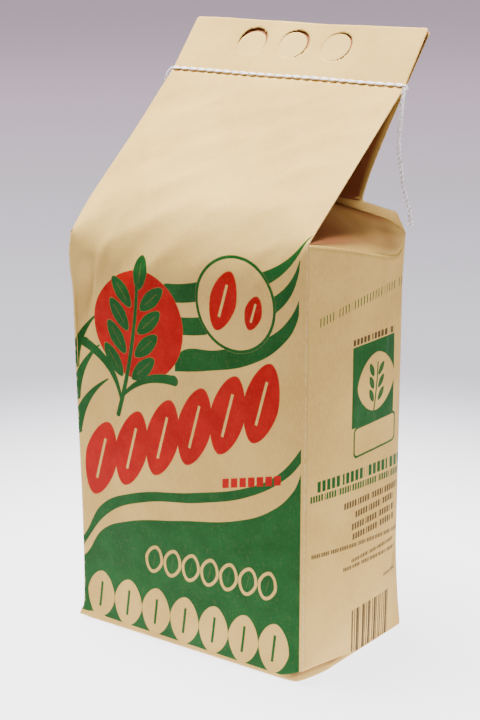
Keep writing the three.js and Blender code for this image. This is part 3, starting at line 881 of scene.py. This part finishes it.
    # What is left bare in the green field: a row of big grains and a row of small outlined ones.
    row_u = calc(tree, "WRAP", calc(tree, "SUBTRACT", u, 4.0), 26.2, 0.0)
    row_v = calc(tree, "ADD", v, calc(tree, "MULTIPLY", u, 0.008))
    on_row = both(ramp(tree, u, 4.0, 4.1), over(u, 187.4))
    big = both(form(grain_print, 13.1, 22.8, 18.5, 13.0, 0.12, 1.1, at=(row_u, row_v)), on_row)
    rising = calc(tree, "SUBTRACT", v, calc(tree, "MULTIPLY", calc(tree, "SUBTRACT", u, 60.0), 0.035))
    small_u = calc(tree, "WRAP", calc(tree, "SUBTRACT", u, 60.0), 16.7, 0.0)
    on_small = both(ramp(tree, u, 60.0, 60.1), over(u, 176.9))
    small = without(
        form(grain_print, 8.35, 62.5, 11.0, 8.2, 0.25, 0.0, at=(small_u, rising)),
        form(grain_print, 8.35, 62.5, 8.4, 5.8, 0.25, 0.0, at=(small_u, rising)),
    )
    green = without(green, union(big, both(small, on_small)))

    # The red: the disc round the ear, six big rising grains, the two grains in the ring and a row of dashes.
    red = without(sun, union(ear, leaf))
    for k in range(6):
        at_u = 20.0 + 28.6 * k
        red = union(red, form(grain_print, at_u, 129.0 + 0.467 * (at_u - 20.0), 30.0, 14.2, 0.28, 1.0))
    short_v = calc(tree, "SUBTRACT", v, calc(tree, "MULTIPLY", calc(tree, "SUBTRACT", u, 155.0), 0.24))
    short_bar = form(block_print, 155, 139, 25, 3.4, 0.4, at=(u, short_v))
    short_gap = over(calc(tree, "WRAP", calc(tree, "SUBTRACT", u, 130.0), 7.3, 0.0), 5.6)
    red = union(
        red,
        form(grain_print, 131, 262, 22.0, 11.0, 0.30, 1.0),
        form(grain_print, 156, 257, 12.5, 7.0, 0.30, 0.8),
        both(short_bar, short_gap),
    )

    # The gussets: a plate with a bare grain and a twig in it, an outline, rows of dashes and some stripes.
    def dashes(low, high, at_v, half, pitch, tilt=0.0, share=0.7):
        """A row of dashes from low to high at a height, with a wider gap after every fifth or so."""
        middle, reach = (low + high) / 2, (high - low) / 2
        lean_v = calc(tree, "SUBTRACT", v, calc(tree, "MULTIPLY", calc(tree, "SUBTRACT", u, middle), tilt))
        whole = form(block_print, middle, at_v, reach, half, 0.3, at=(u, lean_v))
        cell = calc(tree, "WRAP", calc(tree, "SUBTRACT", u, low), pitch, 0.0)
        word = calc(tree, "WRAP", calc(tree, "SUBTRACT", u, low), pitch * 5.3, 0.0)
        return both(both(whole, over(cell, pitch * share)), over(word, pitch * 4.8))

    side_line = dashes(317.0, 421.0, 259.0, 3.0, 3.6, 0.10, 0.30)
    plate = form(block_print, 382, 200, 26.5, 28.3, 0.5)
    plate_grain = form(grain_print, 385.5, 199, 20.5, 23.5, 0.0, 0.0)
    twig = form(stroke_print, 382, 176, 387, 212, 0.9, 0.7, 1.0)
    for at_v in (208.0, 199.0, 190.0):
        twig = union(
            twig,
            form(grain_print, 379.5, at_v, 5.4, 2.5, -0.5, 0.0),
            form(grain_print, 391.5, at_v - 1.0, 5.4, 2.5, 0.7, 0.0),
        )
    outline = without(form(block_print, 385, 161, 27, 11, 4.0), form(block_print, 385, 161, 25.4, 9.4, 3.0))
    side_green = union(
        without(plate, plate_grain),
        both(twig, plate),
        side_line,
        outline,
        dashes(316.0, 421.0, 137.5, 3.9, 5.6, -0.06),
        dashes(308.0, 421.0, 129.6, 2.4, 3.1, -0.065),
    )
    side_brown = union(
        dashes(356.0, 408.0, 231.5, 2.2, 4.3),
        dashes(348.0, 418.0, 117.4, 2.4, 3.2, -0.03),
        dashes(362.0, 411.0, 109.2, 2.4, 3.2),
        dashes(358.0, 413.0, 101.0, 2.4, 3.2),
        dashes(359.0, 413.0, 93.6, 2.3, 3.2),
        dashes(310.0, 420.0, 87.0, 1.5, 2.1, -0.09),
        dashes(358.0, 414.0, 76.0, 1.4, 2.1),
        dashes(348.0, 417.0, 70.6, 1.4, 2.1, -0.05),
        dashes(401.0, 417.0, 51.5, 1.2, 1.8),
    )
    from_left = calc(tree, "SUBTRACT", u, 358.0)
    bars = union(
        over(calc(tree, "WRAP", from_left, 2.6, 0.0), 1.1),
        over(calc(tree, "WRAP", from_left, 7.7, 0.0), 2.5),
    )
    bars = without(bars, over(calc(tree, "WRAP", from_left, 13.3, 0.0), 1.6))
    side_brown = union(side_brown, both(form(block_print, 383, 20.0, 25, 18.0, 0.2), bars))

    # Paper first, worn at folds, with painted shade past the bare place, then inks, thinner where fibres
    # stand up.
    paper_node = tree.nodes.new("ShaderNodeGroup")
    paper_node.node_tree = kraft
    tree.links.new(object_place, paper_node.inputs["Place"])
    geometry = tree.nodes.new("ShaderNodeNewGeometry")
    worn = calc(tree, "MULTIPLY", ramp(tree, geometry.outputs["Pointiness"], 0.56, 0.68), 0.4)
    near_edge = union(ramp(tree, u, 1.6, 0.0), both(ramp(tree, u, 198.0, 199.6), over(u, 230.0)))
    scuff = noise(tree, object_place, 240.0, 3.0)
    worn = calc(tree, "ADD", worn, both(near_edge, ramp(tree, scuff, 0.35, 0.6)))
    tree.links.new(worn, paper_node.inputs["Wear"])
    thin = ramp(tree, paper_node.outputs["Height"], 0.36, 0.50)
    cover = calc(tree, "ADD", 0.965, calc(tree, "MULTIPLY", thin, 0.035))
    rubbed = without(cover, calc(tree, "MULTIPLY", both(near_edge, ramp(tree, scuff, 0.45, 0.6)), 0.6))
    # Painted shade: past the bare place the paper is blended towards a dark red brown, as shade deep in a
    # fold.
    painted_fold_shade = ramp(tree, u, bare_and_shade_place + 3, bare_and_shade_place + 21)
    colour = blend(tree, calc(tree, "MULTIPLY", painted_fold_shade, 0.91), paper_node.outputs["Color"],
                   (0.190, 0.050, 0.024, 1))
    patch = ramp(tree, noise(tree, object_place, 60.0, 3.0), 0.3, 0.7)
    green_ink = blend(tree, patch, (0.005, 0.060, 0.009, 1), (0.008, 0.078, 0.014, 1))
    red_ink = blend(tree, patch, (0.30, 0.002, 0.001, 1), (0.38, 0.004, 0.002, 1))
    brown_ink = (0.075, 0.045, 0.018, 1)
    colour = blend(tree, both(green, rubbed), colour, green_ink)
    colour = blend(tree, both(side_green, rubbed), colour, green_ink)
    colour = blend(tree, both(side_brown, rubbed), colour, brown_ink)
    colour = blend(tree, both(red, rubbed), colour, red_ink)
    tree.links.new(colour, shader.inputs["Base Color"])
    inked = union(green, red, side_green)
    rough = calc(tree, "SUBTRACT", paper_node.outputs["Rough"], calc(tree, "MULTIPLY", inked, 0.14))
    tree.links.new(rough, shader.inputs["Roughness"])
    crease_noise = noise(tree, object_place, 34.0, 4.0, 0.6)
    height = calc(tree, "ADD", calc(tree, "MULTIPLY", paper_node.outputs["Height"], 0.10), crease_noise)
    tree.links.new(height, bump.inputs["Height"])
    bump.inputs["Strength"].default_value = 0.35
    bump.inputs["Distance"].default_value = 0.0016
    return material


bag_paper = printed_paper()
bag.data.materials.append(bag_paper)

# ---- The block bottom ---------------------------------------------------------------------------
# The tube's end, folded in and pasted into a flat base. Its edge shows as a rounded lip under the
# hem, most at the front right corner, which is tucked in. The front left corner stands out.


def block_bottom():
    """Rounded rectangle rings, from a point under the middle of the base, out over its edge and up inside
    the hem. Painted shade darkens it just under the hem where that is lifted."""
    turn = np.linspace(0, 2 * np.pi, 289)[None]
    c, s = np.cos(turn), np.sin(turn)
    square_x, square_y = c / np.maximum(np.abs(c), np.abs(s)), s / np.maximum(np.abs(c), np.abs(s))
    inset = np.array([60, 30, 8, 2.6, 1.2, 0.4, 0.1, 0.3, 0.6, 1.0, 1.4])[:, None]
    height = np.array([0.5, 0.3, 0.0, 0.0, 0.35, 1.2, 2.6, 5.0, 8.0, 11.5, 16.0])[:, None]
    reach_x, reach_y = half_width - inset, half_depth - inset
    corner = 4.5
    x = np.clip(square_x * reach_x, -reach_x, reach_x)
    y = np.clip(square_y * reach_y, -reach_y, reach_y)
    past_x = np.maximum(np.abs(x) - (reach_x - corner), 0)
    past_y = np.maximum(np.abs(y) - (reach_y - corner), 0)
    past = past_x * past_y / corner
    x = x - np.sign(x) * past * 0.22
    y = y - np.sign(y) * past * 0.22
    into_front = np.clip((x - half_width + 24) / 24, 0, 1) * np.clip(-y / half_depth, 0, 1) ** 6
    into_side = np.clip((-y - half_depth + 32) / 32, 0, 1) * np.clip(x / half_width, 0, 1) ** 6
    x, y = x - 8.0 * into_side ** 1.6, y + 1.8 * into_front ** 1.7
    tucked = np.exp(-(((x - half_width) / 30) ** 2) - (((y + half_depth) / 44) ** 2))
    tucked = 2.2 * tucked * np.clip(height / 11, 0, 1)
    x, y = x - tucked, y + tucked
    ear = np.exp(-(((x + half_width) / 9) ** 2) - ((y + half_depth) / 14) ** 2)
    x = x - 3.6 * ear * np.clip(height / 0.5, 0, 1)
    rings = np.stack(np.broadcast_arrays(x, y, height), axis=-1)
    middle = np.zeros((1, rings.shape[1], 3)) + [0, 0, 0.5]
    points = np.concatenate([middle, rings])
    # Painted shade in the crevice just under the hem, where the hem is lifted at the front right corner.
    shade_under_hem = smoothstep(points[..., 2] - hem(points[..., 0], points[..., 1]), -6.0, -1.5)
    lifted = smoothstep(hem(points[..., 0], points[..., 1]), 2.0, 8.0)
    return points, np.stack([bare_and_shade_place + 17 * shade_under_hem * lifted, points[..., 2]], axis=-1), None


bottom = grid_piece("block_bottom", [block_bottom()], weld=0.02)
bottom.data.materials.append(bag_paper)

# ---- The finger hole flaps ----------------------------------------------------------------------
# The carrying holes are die-cut but not punched out. Each disc of paper still hangs on a short
# uncut stretch, and has sprung a little way behind the leaf it was cut from.


def plain_paper():
    """The same kraft paper where nothing is printed: the flaps of the finger holes."""
    material, tree, shader, bump = new_material("plain kraft paper", 0.7)
    paper_node = tree.nodes.new("ShaderNodeGroup")
    paper_node.node_tree = kraft
    place = tree.nodes.new("ShaderNodeTexCoord").outputs["Object"]
    tree.links.new(place, paper_node.inputs["Place"])
    paper_node.inputs["Wear"].default_value = 0.2
    tree.links.new(paper_node.outputs["Color"], shader.inputs["Base Color"])
    tree.links.new(paper_node.outputs["Rough"], shader.inputs["Roughness"])
    tree.links.new(paper_node.outputs["Height"], bump.inputs["Height"])
    bump.inputs["Strength"].default_value = 0.3
    bump.inputs["Distance"].default_value = 0.0003
    return material


bare_paper = plain_paper()


def flap(at_x, at_s, radius, share, sunk, way, shift):
    """A disc in the fin. It is sunk by a depth that grows from 0 on one side to full on the other, in
    direction way, and moved by shift."""
    turn = np.linspace(0, 2 * np.pi, 73)[None]
    if share > 0.5:
        turn = turn[:, ::-1]
    r = radius * np.linspace(0.0, 1, 14)[::-1][:, None]
    u, v = r * np.cos(turn), r * np.sin(turn)
    toward = (u * math.cos(way) + v * math.sin(way)) / radius
    down = sunk * (0.5 + 0.5 * toward) ** 1.3
    x, s = at_x + u + shift[0], at_s + v + shift[1]
    return fin_point(x, s, leaf_depth(x, s, share) + down), None, None


front_flaps = [
    flap(-40.5, 29, 11.7, 0.0, 0.9, 1.7, (-0.2, -2.3)),
    flap(-4.0, 29, 11.7, 0.0, 1.2, 0.6, (-1.7, -0.9)),
    flap(32.5, 29, 11.8, 0.0, 1.2, 0.1, (-1.5, -0.2)),
]
rear_flaps = [flap(x, s, radius + 0.5, 1.0, 0.2, 1.2, (0, 0)) for x, s, radius in finger_holes]
flaps = grid_piece("finger_hole_flaps", front_flaps + rear_flaps, weld=0.03)
flaps.data.materials.append(bare_paper)
flap_thickness = 0.3
flap_ply = flaps.modifiers.new("ply", "SOLIDIFY")
flap_ply.thickness = flap_thickness / 1000
flap_ply.offset = -1

# ---- The ply behind the finger holes ------------------------------------------------------------
# The next layer of paper in the fin, a little wider than each hole, coloured all over with painted
# shade. It shows as a dark sickle where a flap has sprung back from the edge of its hole.

shade_painted_plies = []
for at_x, at_s, radius in finger_holes:
    points = flap(at_x, at_s, radius + 3, 0.8, 0.0, 0.0, (0, 0))[0]
    # Painted shade: the ply's place lies far past the bare place, so it takes the full dark red brown.
    painted_shade_place = np.full(points.shape[:2] + (2,), bare_and_shade_place + 60)
    shade_painted_plies.append((points[:, ::-1], painted_shade_place, None))
shade_painted_ply = grid_piece("finger_hole_inner_ply", shade_painted_plies, weld=0.03)
shade_painted_ply.data.materials.append(bag_paper)

# ---- The chain stitch ---------------------------------------------------------------------------
# White cotton, sewn through every layer along the bend. The looper thread lies in front as a chain of
# drawn-out loops, each locked by the next, and the needle thread runs straight behind.

stitch_count = 26
stitch = width / stitch_count
seam_s = 0.6


def seam_strands():
    """Two strands in front cross over at every stitch, apart in its middle and drawn in at its end. One
    runs behind, one wraps the right end of the fin, and a short plait stands off the left end."""
    x = np.linspace(-half_width - 1.0, half_width + 1.6, 900)
    phase = np.pi * (x + half_width) / stitch
    opened = np.abs(np.sin(phase)) ** 0.8
    strands = []
    for side in (1, -1):
        s = seam_s + side * 0.55 * np.sin(phase) + 0.2 * np.sin(x / 17)
        t = -0.75 - 0.45 * opened - 0.3 * side * np.cos(phase) + 0.45 * np.exp(-(np.sin(phase) / 0.25) ** 2)
        thick = 0.46 + 0.26 * opened + 0.04 * np.sin(5 * x)
        strands.append((tube(fin_point(x, s, t), thick, 10), None, None))
    back = np.linspace(-half_width + 1.5, half_width - 1.5, 420)
    dip = np.exp(-(np.sin(np.pi * (back + half_width) / stitch) / 0.3) ** 2)
    behind = fin_point(back, seam_s + 0 * back, fin_gap + 0.75 - 0.35 * dip)
    strands.append((tube(behind, 0.42, 9), None, None))
    end_turn = np.linspace(0, np.pi, 16)
    wrap = fin_point(half_width + 0.4 + 1.1 * np.sin(end_turn), seam_s + 0 * end_turn,
                     fin_gap / 2 - 1.9 * np.cos(end_turn))
    strands.append((tube(wrap, 0.6, 9), None, None))
    start = np.linspace(0, 1, 14)[:, None]
    stub_from = fin_point(np.array([-half_width - 0.6]), np.array([seam_s]), np.array([-0.8]))
    stub_to = np.array([[-106.3, 49.8, 391.2]])
    stub = stub_from + (stub_to - stub_from) * start + np.array([[-1.2, 0, 0.8]]) * np.sin(np.pi * start)
    strands += plaited(stub, 0.45, 0.25, 0.42, 6.0, (0.3, 0.9, 0.2), loosen=0.8)
    return strands


seam = grid_piece("chain_stitch", seam_strands())
seam.data.materials.append(cotton)
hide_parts("seam_thread")

# ---- Floor and light ----------------------------------------------------------------------------
# A pale sheet whose painted glow near the bag fills its shadow, greying with distance. A bright key
# light stands high on the left and a weak fill low on the right, with a broad soft sun and a dim sky.


def floor_material():
    """A sheet with painted glow near the bag, filling its shadow, going over to pale mauve grey away from it.
    """
    material, tree, shader, bump = new_material("pale table", 0.8)
    place = tree.nodes.new("ShaderNodeTexCoord").outputs["Object"]
    length = tree.nodes.new("ShaderNodeVectorMath")
    length.operation = "LENGTH"
    tree.links.new(place, length.inputs[0])
    far = ramp(tree, length.outputs["Value"], 0.20, 0.72)
    colour = blend(tree, far, (0.24, 0.235, 0.25, 1), (0.26, 0.25, 0.28, 1))
    colour = blend(tree, ramp(tree, length.outputs["Value"], 1.2, 4.0), colour, (0.52, 0.42, 0.50, 1))
    tree.links.new(colour, shader.inputs["Base Color"])
    shader.inputs["Emission Color"].default_value = (0.99, 0.95, 1.0, 1)
    # Painted light: the emission is strongest round the bag and gone 0.72 m away.
    glow = calc(tree, "MULTIPLY", calc(tree, "SUBTRACT", 1.0, far), 3.5)
    tree.links.new(glow, shader.inputs["Emission Strength"])
    tree.nodes.remove(bump)
    return material


floor_half = 40.0
floor_corners = [(x * floor_half, y * floor_half, 0) for x, y in ((-1, -1), (1, -1), (1, 1), (-1, 1))]
floor_mesh = bpy.data.meshes.new("floor")
floor_mesh.from_pydata(floor_corners, [], [(0, 1, 2, 3)])
floor = bpy.data.objects.new("floor", floor_mesh)
floor_mesh.materials.append(floor_material())
bpy.context.scene.collection.objects.link(floor)


def soft_light(name, turn, height, distance, size, power, colour):
    """A square light that faces the bag's middle. turn is its way round from the front, in degrees, with
    the left side negative. height is its angle up. distance and size are metres."""
    data = bpy.data.lights.new(name, "AREA")
    data.shape = "SQUARE"
    data.size = size
    data.energy = power
    data.color = colour
    light = bpy.data.objects.new(name, data)
    a, e = math.radians(turn), math.radians(height)
    light.location = (
        distance * math.sin(a) * math.cos(e),
        -distance * math.cos(a) * math.cos(e),
        0.2 + distance * math.sin(e),
    )
    light.rotation_euler = (math.pi / 2 - e, 0, a)
    bpy.context.scene.collection.objects.link(light)


soft_light("key", -80, 79, 2.4, 0.9, 290, (1.0, 0.985, 0.97))
soft_light("fill", 100, 10, 2.4, 1.2, 34, (1.0, 0.97, 0.96))
room_data = bpy.data.lights.new("room", "SUN")
room_data.energy = 3.0
room_data.angle = math.radians(36)
room_data.color = (1.0, 0.97, 1.0)
room_light = bpy.data.objects.new("room", room_data)
room_light.rotation_euler = (0, math.radians(-14), 0)
bpy.context.scene.collection.objects.link(room_light)
world = bpy.data.worlds.new("pale sky")
world.use_nodes = True
world.node_tree.nodes["Background"].inputs["Color"].default_value = (0.95, 0.93, 1.0, 1)
world.node_tree.nodes["Background"].inputs["Strength"].default_value = 0.06
bpy.context.scene.world = world
